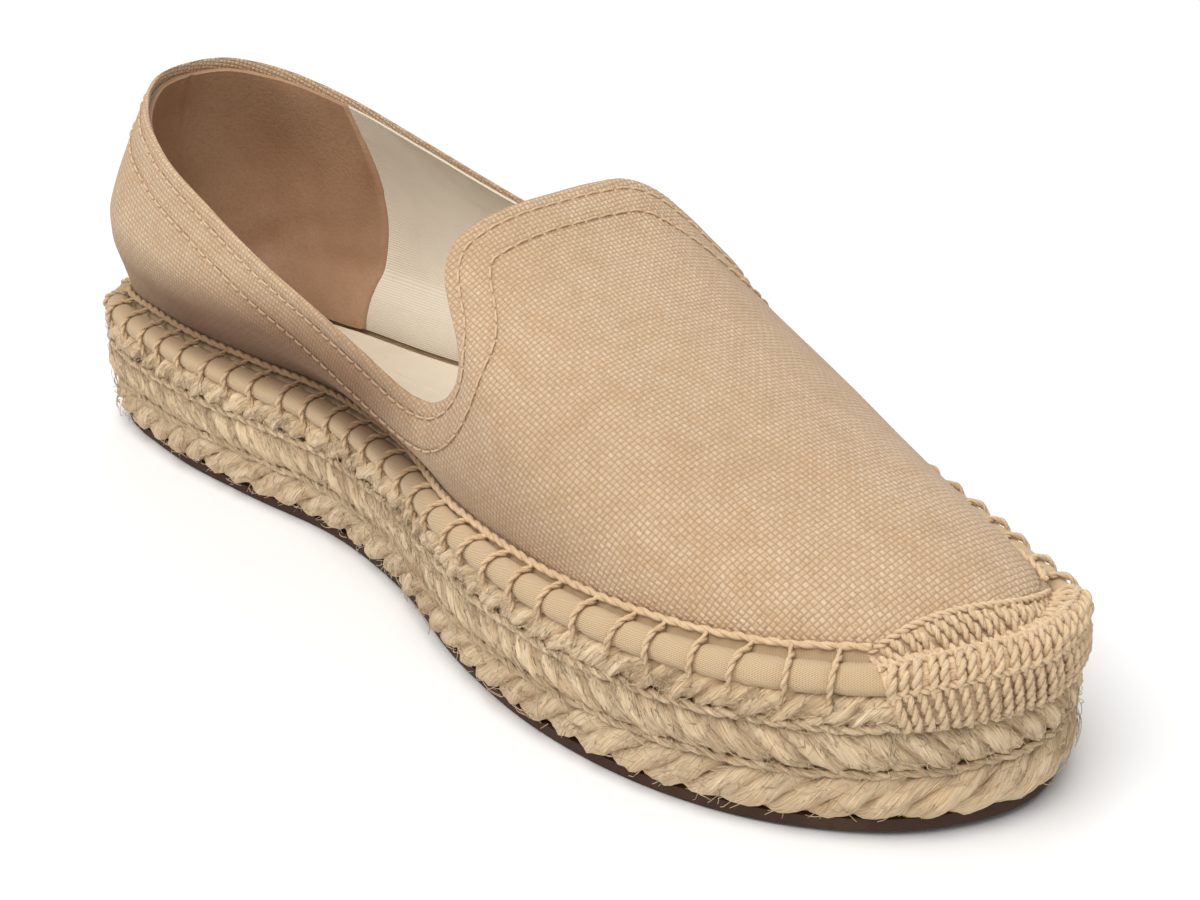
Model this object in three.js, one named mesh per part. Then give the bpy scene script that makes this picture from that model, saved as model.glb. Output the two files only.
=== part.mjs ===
// A left-foot espadrille: canvas slip-on upper on a corded jute sole with a thin rubber tread.
// Millimetres. +X points to the toe, +Y to the wearer's left (the outer side), +Z up.
import * as THREE from "three";

// Driving dimensions
const LENGTH = 270; // sole, heel to toe
const TREAD = 2.8; // rubber tread thickness
const ROW = 9.3; // height of one plaited jute row
const SEAT = 5.5; // height of the third row, up to the seat of the piping
const RIM = 31.6; // nominal height of the top of the jute, at the toe
const GAP = 0.3; // clearance kept between neighbouring pieces
const HEEL_RATIO = 0.92; // sole thickness at the heel over that at the toe
const SPRING = 1.8; // lift of the sole at the tip of the toe
const SPRING_START = 0.78; // fraction of the length where the toe starts to lift
const FEATHER = 6.6; // inset of the foot of the upper from the edge of the sole
const WALL = 1.8; // canvas upper with its lining
const PIPING_RADIUS = 2.95;
const PIPING_INSET = 3.2; // centre of the piping, in from the edge of the sole
const WELL = 12.4; // inset of the well for the insole, at its foot
const INSOLE_TOP = 20.5; // nominal height of the insole's top, down in the well
const GUARD = 1.5; // thickness of the corded toe guard
const GUARD_FROM = 9.85; // guard's ends, in rows of the section table
const GUARD_TO = 12.05;
const GUARD_REACH = [0.03, 0.12]; // how far up the wall the guard goes: at its ends, and more at its middle
const GUARD_FEET = [26, 23.6]; // nominal heights of the guard's lower part

const RIBS_PER_SECTION = 4;
const LEVELS = 12; // steps up the wall of the upper

// Radial sections round the shoe, starting at the heel and running along the inner side.
// x, y: edge of the sole. rise, lean: how the wall leaves the sole, up and outwards.
// sx, sy, sz: the shoulder that the wall bends towards. top: row of the topline it ends on.
const SECTIONS = [
  { x: 0, y: 0.5, rise: 18, lean: 5.5, sx: 3.5, sy: 1, sz: 66, top: 0 },
  { x: 8, y: -25, rise: 18, lean: 5, sx: 15, sy: -22.5, sz: 63, top: 2 },
  { x: 37, y: -32, rise: 15, lean: 5.5, sx: 39, sy: -29.5, sz: 58, top: 3.1 },
  { x: 68, y: -31.6, rise: 13, lean: 6, sx: 68, sy: -31, sz: 54, top: 4.35 },
  { x: 98, y: -29.5, rise: 11, lean: 6.5, sx: 97, sy: -32, sz: 49, top: 5.65 },
  { x: 128, y: -34, rise: 9, lean: 6, sx: 124, sy: -35.5, sz: 46, top: 7 },
  { x: 158, y: -43.5, rise: 9, lean: 4, sx: 151, sy: -38.5, sz: 46, top: 9 },
  { x: 189, y: -48.5, rise: 18, lean: 3.5, sx: 167, sy: -37, sz: 57, top: 11.5 },
  { x: 219, y: -46.5, rise: 18, lean: 2.5, sx: 185, sy: -26, sz: 59, top: 13.5 },
  { x: 244, y: -38, rise: 17, lean: 1.5, sx: 193, sy: -16, sz: 57.5, top: 15.2 },
  { x: 264, y: -22, rise: 15, lean: 1, sx: 196, sy: -8, sz: 54, top: 16.4 },
  { x: 272, y: -1, rise: 14, lean: 1, sx: 198, sy: -1, sz: 52, top: 17.6 },
  { x: 264.5, y: 17.5, rise: 13, lean: 0.5, sx: 195.5, sy: 5.5, sz: 50, top: 18.9 },
  { x: 244, y: 27.5, rise: 13.5, lean: 1, sx: 190, sy: 12, sz: 50.5, top: 20.2 },
  { x: 217, y: 37.5, rise: 14.5, lean: 1.5, sx: 182, sy: 22.2, sz: 52.2, top: 21.8 },
  { x: 188, y: 45.5, rise: 15.5, lean: 2.8, sx: 168, sy: 34.2, sz: 52.3, top: 24 },
  { x: 158, y: 49, rise: 9, lean: 3, sx: 153, sy: 44, sz: 46, top: 27 },
  { x: 128, y: 46, rise: 9, lean: 4, sx: 127, sy: 41.5, sz: 46, top: 29 },
  { x: 98, y: 41.5, rise: 11, lean: 5, sx: 98, sy: 38.5, sz: 50, top: 30.4 },
  { x: 68, y: 36.8, rise: 13, lean: 5.5, sx: 68, sy: 34.5, sz: 55, top: 31.7 },
  { x: 37, y: 33.3, rise: 15, lean: 5.5, sx: 39.5, sy: 31, sz: 59, top: 33 },
  { x: 8, y: 24, rise: 18, lean: 5, sx: 15, sy: 22, sz: 64, top: 34 },
];

// Topline: collar and throat edge, in the same order as the sections.
const TOPLINE = [
  { x: 12.5, y: 1, z: 81.5 },
  { x: 15, y: -9, z: 81 },
  { x: 24, y: -18, z: 77.5 },
  { x: 40, y: -24.5, z: 72 },
  { x: 60, y: -27.5, z: 66.5 },
  { x: 83, y: -29.5, z: 60 },
  { x: 105, y: -31, z: 55.5 },
  { x: 125, y: -33.5, z: 52.5 },
  { x: 140, y: -35.5, z: 50.5 },
  { x: 149, y: -35.5, z: 51 },
  { x: 154, y: -34, z: 55.5 },
  { x: 153.5, y: -32, z: 61 },
  { x: 150, y: -30.5, z: 66 },
  { x: 146, y: -28.5, z: 69.7 },
  { x: 142.5, y: -26, z: 73.5 },
  { x: 140.3, y: -21.8, z: 77.5 },
  { x: 140.5, y: -15, z: 80.4 },
  { x: 141, y: -7.5, z: 81.6 },
  { x: 141.3, y: 2.5, z: 81.6 },
  { x: 142, y: 12, z: 81.4 },
  { x: 143.5, y: 19.8, z: 80.6 },
  { x: 146, y: 25.3, z: 77.5 },
  { x: 150, y: 29.8, z: 72 },
  { x: 153.5, y: 33.8, z: 66 },
  { x: 156, y: 38, z: 60 },
  { x: 155.5, y: 40.3, z: 54.5 },
  { x: 150, y: 41.2, z: 51.5 },
  { x: 140, y: 40.8, z: 51 },
  { x: 125, y: 39, z: 52.5 },
  { x: 105, y: 36.5, z: 56 },
  { x: 83, y: 33, z: 61.5 },
  { x: 60, y: 30, z: 67.5 },
  { x: 40, y: 26.5, z: 73 },
  { x: 24, y: 19.5, z: 78 },
  { x: 15, y: 10.5, z: 81 },
];

const RIBS = SECTIONS.length * RIBS_PER_SECTION;
const closedCurve = (points) => new THREE.CatmullRomCurve3(points, true, "centripetal");
const edgeCurve = closedCurve(SECTIONS.map((s) => new THREE.Vector3(s.x, s.y, 0)));
const shoulderCurve = closedCurve(SECTIONS.map((s) => new THREE.Vector3(s.sx, s.sy, s.sz)));
const toplineCurve = closedCurve(TOPLINE.map((p) => new THREE.Vector3(p.x, p.y, p.z)));

const clamp = THREE.MathUtils.clamp;
const lerp = THREE.MathUtils.lerp;

// A column of the section table at row r, which may lie between two rows.
function column(name, r) {
  const n = SECTIONS.length;
  const i = Math.floor(r);
  const f = r - i;
  const value = (k) => {
    const turn = name === "top" ? TOPLINE.length * Math.floor(k / n) : 0;
    return SECTIONS[((k % n) + n) % n][name] + turn;
  };
  const [a, b, c, d] = [value(i - 1), value(i), value(i + 1), value(i + 2)];
  const cubic = (2 * a - 5 * b + 4 * c - d) * f * f + (3 * b - a - 3 * c + d) * f * f * f;
  return b + 0.5 * ((c - a) * f + cubic);
}

// Lift of the whole sole at x, and its thickness there over the nominal one.
function lift(x) {
  const f = clamp((x / LENGTH - SPRING_START) / (1 - SPRING_START), 0, 1);
  return SPRING * f * f;
}
const thickness = (x) => lerp(HEEL_RATIO, 1, clamp(x / LENGTH, 0, 1));

// Point on the sole at row r, in from its edge, at a nominal height.
function solePoint(r, inset, height) {
  const t = (((r / SECTIONS.length) % 1) + 1) % 1;
  const p = edgeCurve.getPoint(t);
  const along = edgeCurve.getTangent(t);
  p.x -= along.y * inset;
  p.y += along.x * inset;
  p.z = height * thickness(p.x) + lift(p.x);
  return p;
}

// Outward direction of the sole's edge at row r.
function outward(r) {
  const along = edgeCurve.getTangent((((r / SECTIONS.length) % 1) + 1) % 1);
  return new THREE.Vector3(along.y, -along.x, 0);
}

// Outer face of the upper: row r round the shoe, v from 0 at the sole to 1 at the topline.
function upperPoint(r, v) {
  const foot = solePoint(r, FEATHER, RIM + GAP);
  const wall = foot.clone().addScaledVector(outward(r), column("lean", r));
  wall.z += column("rise", r);
  const t = (((r / SECTIONS.length) % 1) + 1) % 1;
  const shoulder = shoulderCurve.getPoint(t);
  const edge = toplineCurve.getPoint((column("top", r) / TOPLINE.length + 1) % 1);
  return new THREE.CubicBezierCurve3(foot, wall, shoulder, edge).getPoint(v);
}

// The same face moved outwards by a distance, inwards if it is negative.
function upperOffset(r, v, distance) {
  const d = 0.01;
  const low = clamp(v, d, 1 - d);
  const round = upperPoint(r + d, low).sub(upperPoint(r - d, low));
  const up = upperPoint(r, low + d).sub(upperPoint(r, low - d));
  const normal = round.cross(up).normalize();
  return upperPoint(r, v).addScaledVector(normal, distance);
}

// A mesh geometry from a list of quads and triangles over a list of points.
function geometry(points, faces) {
  const g = new THREE.BufferGeometry();
  g.setAttribute("position", new THREE.Float32BufferAttribute(points.flatMap((p) => p.toArray()), 3));
  g.setIndex(faces.flatMap((f) => (f.length === 3 ? f : [f[0], f[1], f[2], f[0], f[2], f[3]])));
  g.computeVertexNormals();
  return g;
}

// A solid stacked from closed rings, lowest first, with its two ends closed by rungs across.
function stack(rings) {
  const n = rings[0].length;
  const faces = [];
  rings.slice(1).forEach((_, k) => {
    for (let i = 0; i < n; i++) {
      const j = (i + 1) % n;
      faces.push([k * n + i, k * n + j, (k + 1) * n + j, (k + 1) * n + i]);
    }
  });
  const last = (rings.length - 1) * n;
  for (let i = 0; i < n / 2; i++) {
    const [a, b, c, d] = [i, i + 1, n - i - 1, (n - i) % n];
    const rung = a === d ? [a, b, c] : b === c ? [a, b, d] : [a, b, c, d];
    faces.push([...rung].reverse(), rung.map((k) => k + last));
  }
  return geometry(rings.flat(), faces);
}

// A tube closed on itself: each ring is the section at one rib.
function ring(sections) {
  const n = sections.length;
  const m = sections[0].length;
  const faces = [];
  for (let i = 0; i < n; i++) {
    for (let k = 0; k < m; k++) {
      const [a, b] = [i * m + k, i * m + ((k + 1) % m)];
      const [c, d] = [((i + 1) % n) * m + ((k + 1) % m), ((i + 1) % n) * m + k];
      faces.push([a, d, c, b]);
    }
  }
  return geometry(sections.flat(), faces);
}

// The same, open between its first and last section, which are closed flat.
function bar(sections) {
  const n = sections.length;
  const m = sections[0].length;
  const faces = [];
  for (let i = 0; i < n - 1; i++) {
    for (let k = 0; k < m; k++) {
      const [a, b] = [i * m + k, i * m + ((k + 1) % m)];
      faces.push([a, a + m, b + m, b]);
    }
  }
  const end = (n - 1) * m;
  for (let k = 0; k < m / 2 - 1; k++) {
    const cap = [k, k + 1, m - k - 2, m - k - 1];
    faces.push(cap, [...cap].reverse().map((i) => i + end));
  }
  return geometry(sections.flat(), faces);
}

const ribs = Array.from({ length: RIBS }, (_, i) => i / RIBS_PER_SECTION);
// A flat layer of the sole from its edge profile, rows of inset and height, lowest first.
const layer = (profile) => stack(profile.map((p) => ribs.map((r) => solePoint(r, p.inset, p.height))));

function outsole() {
  return layer([
    { inset: 3.4, height: 0 },
    { inset: 2.8, height: 0.5 },
    { inset: 2.6, height: TREAD },
  ]);
}

// Edge profile of one plaited row, 0 for the lowest: it bulges between the grooves above and below.
function rowProfile(index) {
  const low = TREAD + GAP + index * (ROW + GAP);
  return [
    { inset: 2.0 - 0.5 * index, height: low },
    { inset: 0.7, height: low + 0.14 * ROW },
    { inset: 0, height: low + 0.38 * ROW },
    { inset: 0, height: low + 0.62 * ROW },
    { inset: 0.6, height: low + 0.86 * ROW },
    { inset: 1.6, height: low + ROW },
  ];
}

// A row that goes round the well, from its edge profile and the two corners of its inner wall.
const wreath = (profile) => ring(ribs.map((r) => profile.map((p) => solePoint(r, p.inset, p.height))));

function middleRow() {
  const profile = rowProfile(1);
  return wreath([
    ...profile,
    { inset: WELL, height: profile.at(-1).height },
    { inset: WELL, height: profile[0].height },
  ]);
}

// The top row: half hidden by the piping, which sits in the step along its top edge.
function topRow() {
  const low = TREAD + GAP + 2 * (ROW + GAP);
  const step = PIPING_INSET + PIPING_RADIUS + GAP;
  return wreath([
    { inset: 1.6, height: low },
    { inset: 0.5, height: low + 0.25 * SEAT },
    { inset: 0.1, height: low + 0.6 * SEAT },
    { inset: 0.9, height: low + SEAT - 2 * GAP },
    { inset: step, height: low + SEAT - 2 * GAP },
    { inset: step, height: RIM },
    { inset: FEATHER + WALL + GAP, height: RIM },
    { inset: WELL, height: low },
  ]);
}

const pipingHeight = TREAD + 3 * GAP + 2 * ROW + SEAT + PIPING_RADIUS - GAP;

function piping() {
  const sides = 10;
  return ring(
    ribs.map((r) =>
      Array.from({ length: sides }, (_, k) => {
        const angle = (k / sides) * 2 * Math.PI;
        const p = solePoint(r, PIPING_INSET - PIPING_RADIUS * Math.cos(angle), pipingHeight);
        p.z += PIPING_RADIUS * Math.sin(angle);
        return p;
      }),
    ),
  );
}

function upper() {
  const up = Array.from({ length: LEVELS + 1 }, (_, k) => k / LEVELS);
  return ring(
    ribs.map((r) => {
      const outer = up.map((v) => upperPoint(r, v));
      const inner = up.map((v) => upperOffset(r, v, -WALL));
      inner[0].z = outer[0].z;
      return [...outer, ...inner.reverse()];
    }),
  );
}

// Firm cloth-covered insole, down in the well on the lowest row.
function insole() {
  const inset = WELL + GAP;
  return layer([
    { inset, height: TREAD + 2 * GAP + ROW },
    { inset, height: INSOLE_TOP - 1 },
    { inset: inset + 1, height: INSOLE_TOP },
  ]);
}

// Corded guard over the toe: down the upper, over the piping and down the top jute row.
function toeGuard() {
  const steps = 24;
  const sections = Array.from({ length: steps + 1 }, (_, i) => {
    const r = lerp(GUARD_FROM, GUARD_TO, i / steps);
    const side = (distance) => {
      const height = GUARD_REACH[0] + GUARD_REACH[1] * Math.sin(Math.PI * (i / steps) ** 0.75);
      const onUpper = [3, 2, 1].map((third) => upperOffset(r, (third / 3) * height, distance));
      const reach = PIPING_RADIUS + distance;
      const onPiping = [75, 40, 5].map((degrees) => {
        const angle = THREE.MathUtils.degToRad(degrees);
        const p = solePoint(r, PIPING_INSET - reach * Math.cos(angle), pipingHeight);
        p.z += reach * Math.sin(angle);
        return p;
      });
      return [...onUpper, ...onPiping, ...GUARD_FEET.map((h) => solePoint(r, 0.1 - distance, h))];
    };
    return [...side(GAP + GUARD), ...side(GAP).reverse()];
  });
  return bar(sections.map((s) => s.reverse()));
}

const PIECES = [
  { name: "outsole", make: outsole, color: 0x3a2b22, roughness: 0.75 },
  { name: "jute_row_lower", make: () => layer(rowProfile(0)), color: 0xb5a07c, roughness: 0.95 },
  { name: "jute_row_middle", make: middleRow, color: 0xb5a07c, roughness: 0.95 },
  { name: "jute_row_upper", make: topRow, color: 0xb5a07c, roughness: 0.95 },
  { name: "insole", make: insole, color: 0xe2d8c4, roughness: 0.9 },
  { name: "upper", make: upper, color: 0xc4a077, roughness: 0.92 },
  { name: "piping", make: piping, color: 0xc79f6f, roughness: 0.88 },
  { name: "toe_guard", make: toeGuard, color: 0xb98f5e, roughness: 0.92 },
];

const shoe = new THREE.Group();
for (const { name, make, color, roughness } of PIECES) {
  const mesh = new THREE.Mesh(make(), new THREE.MeshStandardMaterial({ color, roughness, metalness: 0 }));
  mesh.name = name;
  shoe.add(mesh);
}

// The origin is on the ground, at the middle of the shoe's box.
const box = new THREE.Box3().setFromObject(shoe);
const middle = box.getCenter(new THREE.Vector3());
shoe.position.set(-middle.x, -middle.y, -box.min.z);

const group = new THREE.Group();
group.add(shoe);

export default group;
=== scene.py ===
# A left-foot slip-on espadrille: canvas upper, twill piping and a plaited jute sole.
import math

import bpy
import numpy as np
from mathutils import Matrix
from mathutils.kdtree import KDTree


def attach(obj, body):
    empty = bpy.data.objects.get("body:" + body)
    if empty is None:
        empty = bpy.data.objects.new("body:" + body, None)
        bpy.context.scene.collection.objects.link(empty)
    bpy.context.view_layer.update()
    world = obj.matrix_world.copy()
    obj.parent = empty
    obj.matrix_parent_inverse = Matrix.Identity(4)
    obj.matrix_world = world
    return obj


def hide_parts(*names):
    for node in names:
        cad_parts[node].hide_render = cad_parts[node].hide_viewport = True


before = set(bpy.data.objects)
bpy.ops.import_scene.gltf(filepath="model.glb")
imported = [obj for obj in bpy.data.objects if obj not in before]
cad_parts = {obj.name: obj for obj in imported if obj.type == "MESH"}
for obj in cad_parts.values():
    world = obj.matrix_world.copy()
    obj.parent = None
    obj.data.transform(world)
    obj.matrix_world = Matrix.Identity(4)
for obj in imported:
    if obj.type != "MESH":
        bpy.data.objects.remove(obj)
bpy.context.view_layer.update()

mm = 0.001
rng = np.random.default_rng(11)

# ---- camera, floor and light

cameraView = {
    "aim": (0.01234, 0.00523, 0.02725),
    "azimuth": 49.99,
    "elevation": 25.52,
    "distance": 0.529,
    "roll": -2.23,
    "lens": 78,
}

studio = {
    "floorSize": 8,
    "floorColour": (0.90, 0.90, 0.90),
    "world": 0.4,
    "keyPower": 27,
    "keySize": 1.5,
    "keyPlace": (0.28, -0.68, 1.4),
    "backPower": 4,
    "backSize": 0.9,
    "backPlace": (-0.75, 0.75, 0.85),
}


def aimedMatrix(place, back, right):
    up = np.cross(back, right)
    turn = Matrix(((right[0], up[0], back[0]), (right[1], up[1], back[1]), (right[2], up[2], back[2])))
    return Matrix.Translation(place) @ turn.to_4x4()


def placeCamera(view):
    azimuth, elevation, roll = (math.radians(view[k]) for k in ("azimuth", "elevation", "roll"))
    back = np.array([
        math.sin(azimuth) * math.cos(elevation),
        -math.cos(azimuth) * math.cos(elevation),
        math.sin(elevation),
    ])
    level = np.array([math.cos(azimuth), math.sin(azimuth), 0.0])
    right = level * math.cos(roll) + np.cross(back, level) * math.sin(roll)
    bpy.ops.object.camera_add()
    camera = bpy.context.object
    camera.name = "camera"
    camera.data.lens = view["lens"]
    camera.data.clip_start = 0.01
    camera.matrix_world = aimedMatrix(np.array(view["aim"]) + back * view["distance"], back, right)
    bpy.context.scene.camera = camera


def softBox(name, place, size, power):
    back = np.array(place, float)
    back /= np.linalg.norm(back)
    right = np.cross((0.0, 1.0, 0.0), back)
    right /= np.linalg.norm(right)
    bpy.ops.object.light_add(type="AREA")
    light = bpy.context.object
    light.name = name
    light.data.size = size
    light.data.energy = power
    light.matrix_world = aimedMatrix(place, back, right)


# ---- shader maths


class Wire:
    def __init__(self, tree, socket=None):
        self.tree = tree
        self.socket = socket

    # makes any node: its settings first, then the values or links of its sockets
    def make(self, kind, settings=None, sockets=None, out=0):
        node = self.tree.nodes.new("ShaderNode" + kind)
        for name, value in (settings or {}).items():
            setattr(node, name, value)
        for name, value in (sockets or {}).items():
            if isinstance(value, Wire):
                self.tree.links.new(value.socket, node.inputs[name])
            else:
                node.inputs[name].default_value = value
        return Wire(self.tree, node.outputs[out])

    def maths(self, operation, *values):
        return self.make("Math", {"operation": operation}, dict(enumerate(values)))

    def mixColours(self, factor, first, second):
        return self.make("Mix", {"data_type": "RGBA"}, {0: factor, 6: first, 7: second}, out=2)

    def __add__(self, other):
        return self.maths("ADD", self, other)

    def __radd__(self, other):
        return self.maths("ADD", other, self)

    def __sub__(self, other):
        return self.maths("SUBTRACT", self, other)

    def __rsub__(self, other):
        return self.maths("SUBTRACT", other, self)

    def __mul__(self, other):
        return self.maths("MULTIPLY", self, other)

    def __rmul__(self, other):
        return self.maths("MULTIPLY", other, self)

    def __truediv__(self, other):
        return self.maths("DIVIDE", self, other)

    def __pow__(self, other):
        return self.maths("POWER", self, other)


def paint(red, green, blue):
    linear = [((c / 255 + 0.055) / 1.055) ** 2.4 for c in (red, green, blue)]
    return (*linear, 1)


def startMaterial(name, roughness, sheen=0.0):
    material = bpy.data.materials.new(name)
    material.use_nodes = True
    shader = material.node_tree.nodes["Principled BSDF"]
    shader.inputs["Roughness"].default_value = roughness
    shader.inputs["Specular IOR Level"].default_value = 0.2
    shader.inputs["Sheen Weight"].default_value = sheen
    shader.inputs["Sheen Roughness"].default_value = 0.6
    return material, Wire(material.node_tree), shader


def finishMaterial(wire, shader, colour, height, depth):
    bump = wire.make("Bump", sockets={"Distance": depth, "Height": height})
    wire.tree.links.new(colour.socket, shader.inputs["Base Color"])
    wire.tree.links.new(bump.socket, shader.inputs["Normal"])


def axesOf(wire, vector):
    node = wire.make("SeparateXYZ", sockets={0: vector}).socket.node
    return [Wire(wire.tree, socket) for socket in node.outputs]


def surfaceAxes(wire, kind="UV"):
    vector = wire.make("TexCoord", out=kind)
    return vector, axesOf(wire, vector)


def noise(wire, vector, scale, detail=2.0, roughness=0.5, out=0):
    values = {"Vector": vector, "Scale": scale, "Detail": detail, "Roughness": roughness}
    return wire.make("TexNoise", sockets=values, out=out)


# Noise drawn out into streaks, with its scale along the first and the second axis.
def streaky(wire, vector, first, second, detail, roughness=0.5):
    scaled = wire.make("VectorMath", {"operation": "MULTIPLY"}, {0: vector, 1: (first, second, 1.0)})
    return noise(wire, scaled, 1.0, detail, roughness)


def smoothStep(wire, value, low, high, start=0.0, end=1.0):
    values = {"Value": value, "From Min": low, "From Max": high, "To Min": start, "To Max": end}
    return wire.make("MapRange", {"interpolation_type": "SMOOTHSTEP"}, values)


# Lays a tint over a colour, up to most, as a mask goes from low to high.
def tinted(wire, colour, mask, low, high, most, tint):
    return wire.mixColours(smoothStep(wire, mask, low, high, 0.0, most), colour, tint)


# Plain weave: one bead in each crossing, long across the yarn that lies on top.
def wovenHeight(wire, vector, along, across, pitch, wander, flatness):
    driftA, driftB, _ = axesOf(wire, noise(wire, vector, 90.0, 3.0, out=1))
    a = along / pitch + (driftA - 0.5) * wander
    b = across / pitch + (driftB - 0.5) * wander
    cellA, cellB = wire.maths("FLOOR", a), wire.maths("FLOOR", b)
    bowA = wire.maths("SINE", (a - cellA) * math.pi)
    bowB = wire.maths("SINE", (b - cellB) * math.pi)
    odd = wire.maths("FLOORED_MODULO", cellA + cellB, 2.0)
    steep = 0.45 + odd * flatness
    shallow = 0.45 + (1 - odd) * flatness
    bead = (bowA ** steep) * (bowB ** shallow)
    cell = wire.make("CombineXYZ", None, {0: cellA, 1: cellB, 2: 0.0})
    chance = wire.make("TexWhiteNoise", {"noise_dimensions": "3D"}, {"Vector": cell})
    yarnA = wire.make("TexWhiteNoise", {"noise_dimensions": "1D"}, {"W": cellA})
    yarnB = wire.make("TexWhiteNoise", {"noise_dimensions": "1D"}, {"W": cellB + 0.37})
    return bead, odd, chance, (yarnA + yarnB) * 0.5


# Painted shade over the seam on the inner waist, standing in for the shadow in the fold there: a fold
# band that climbs a little towards the toe, and a fainter painted shade on the side ahead of it. Each
# range says where that part of the mask comes in.
paintedShade = {
    "climbX": (-95 * mm, -35 * mm), "climb": 6 * mm,
    "foldZ": (54 * mm, 39 * mm), "foldX": (26 * mm, -18 * mm), "heelX": (-138 * mm, -84 * mm, 0.3),
    "sideZ": (70 * mm, 38 * mm), "sideToe": (96 * mm, 30 * mm), "sideHeel": (-20 * mm, 20 * mm),
    "sideFoot": (33 * mm, 35 * mm), "sideMost": 0.36,
    "innerY": (0 * mm, -17 * mm), "footZ": (29.2 * mm, 32.2 * mm),
    # Colours of the painted shade: one for the canvas, one for the cords and piping.
    "cloth": paint(112, 74, 38), "cord": paint(124, 84, 44),
}


# Mask of the painted shade over the inner waist seam, built from the ranges above.
def paintedWaistShade(wire):
    _, (x, y, z) = surfaceAxes(wire, "Object")

    def part(value, name):
        return smoothStep(wire, value, *paintedShade[name])

    raised = z - part(x, "climbX") * paintedShade["climb"]
    fold = part(raised, "foldZ") * part(x, "foldX") * part(x, "heelX")
    side = part(z, "sideZ") * part(x, "sideToe") * part(x, "sideHeel")
    side = side * part(z, "sideFoot") * paintedShade["sideMost"]
    return wire.maths("MAXIMUM", fold, side) * part(y, "innerY") * part(z, "footZ")


def canvasMaterial():
    look = {
        "pitch": 1.06 * mm, "wander": 1.1, "flatness": 0.75, "relief": 0.27 * mm,
        "crown": paint(208, 178, 144), "pale": paint(222, 195, 163), "gap": paint(160, 128, 94),
        "blotch": paint(197, 163, 125),
    }
    material, wire, shader = startMaterial("sandCanvas", 0.88, 0.12)
    vector, (along, across, _) = surfaceAxes(wire)
    bead, odd, chance, yarn = wovenHeight(
        wire, vector, along, across, look["pitch"], look["wander"], look["flatness"]
    )
    crown = wire.mixColours(chance * 0.55 + yarn * 0.45, look["crown"], look["pale"])
    blotch = noise(wire, vector, 35.0, 3.0) * 0.5 + noise(wire, vector, 210.0, 3.0) * 0.5
    crown = tinted(wire, crown, blotch, 0.4, 0.62, 0.55, look["blotch"])
    fuzz = streaky(wire, vector, 1400.0, 1400.0, 3.0)
    crown = wire.mixColours(smoothStep(wire, fuzz, 0.45, 0.75, 0.0, 0.4) + odd * 0.2, crown, look["gap"])
    colour = wire.mixColours(smoothStep(wire, bead, 0.0, 0.6, 0.35, 1.0), look["gap"], crown)
    # Painted shade: the canvas darkens over the inner waist seam, where the fold lies in shadow.
    colour = wire.mixColours(paintedWaistShade(wire) * 0.94, colour, paintedShade["cloth"])
    slub = streaky(wire, vector, 900.0, 160.0, 3.0) + streaky(wire, vector, 160.0, 900.0, 3.0)
    height = bead * (0.55 - odd * 0.25 + chance * 0.45 + yarn * 0.2) + slub * 0.4 + fuzz * 0.35
    finishMaterial(wire, shader, colour, height, look["relief"])
    return material


def juteMaterial():
    look = {
        "light": paint(244, 220, 184), "base": paint(218, 186, 144), "dark": paint(146, 108, 68),
        "patch": paint(208, 172, 128), "speck": paint(140, 112, 76), "relief": 0.75 * mm,
    }
    material, wire, shader = startMaterial("rawJute", 0.92, 0.1)
    vector, _ = surfaceAxes(wire)
    streaks = streaky(wire, vector, 180.0, 3200.0, 4.0, 0.65)
    fine = streaky(wire, vector, 420.0, 7000.0, 2.0, 0.6)
    place = wire.make("TexCoord", out="Object")
    colour = wire.mixColours(smoothStep(wire, streaks, 0.35, 0.62), look["base"], look["light"])
    colour = tinted(wire, colour, streaks, 0.43, 0.27, 0.9, look["dark"])
    colour = tinted(wire, colour, noise(wire, place, 70.0, 3.0), 0.45, 0.72, 0.4, look["patch"])
    colour = tinted(wire, colour, noise(wire, place, 420.0), 0.68, 0.78, 0.6, look["speck"])
    finishMaterial(wire, shader, colour, streaks * 0.6 + fine * 0.4, look["relief"])
    return material


def cordMaterial(name, light, dark):
    material, wire, shader = startMaterial(name, 0.85, 0.12)
    vector, _ = surfaceAxes(wire)
    strands = streaky(wire, vector, 500.0, 5200.0, 3.0, 0.6)
    patches = noise(wire, wire.make("TexCoord", out="Object"), 260.0)
    colour = wire.mixColours(smoothStep(wire, strands, 0.25, 0.6), dark, light)
    colour = tinted(wire, colour, patches, 0.5, 0.75, 0.3, dark)
    # Painted shade: the thread darkens over the inner waist, where the fold at the seam lies in shadow.
    colour = wire.mixColours(paintedWaistShade(wire) * 0.7, colour, paintedShade["cord"])
    finishMaterial(wire, shader, colour, strands, 0.2 * mm)
    return material


def twillMaterial():
    look = {
        "pitch": 0.62 * mm, "yarn": 0.5 * mm, "relief": 0.16 * mm,
        "light": paint(234, 206, 166), "dark": paint(190, 156, 114), "patch": paint(214, 182, 138),
    }
    material, wire, shader = startMaterial("pipingTwill", 0.84, 0.15)
    vector, (along, across, _) = surfaceAxes(wire)
    drift = noise(wire, vector, 160.0) * 0.5
    slant = wire.maths("SINE", ((along + across * 1.6) / look["pitch"] + drift) * (2 * math.pi))
    yarn = wire.maths("SINE", (along / look["yarn"] + drift) * (2 * math.pi))
    height = slant * 0.5 + yarn * 0.15 + 0.5
    colour = wire.mixColours(smoothStep(wire, height, 0.05, 0.6), look["dark"], look["light"])
    colour = tinted(wire, colour, noise(wire, vector, 110.0), 0.45, 0.75, 0.35, look["patch"])
    # Painted shade: the upper half of the piping darkens over the inner waist, in the shadow of the fold at
    # the seam.
    colour = wire.mixColours(paintedWaistShade(wire) * 0.85, colour, paintedShade["cord"])
    finishMaterial(wire, shader, colour, height, look["relief"])
    return material


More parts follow.
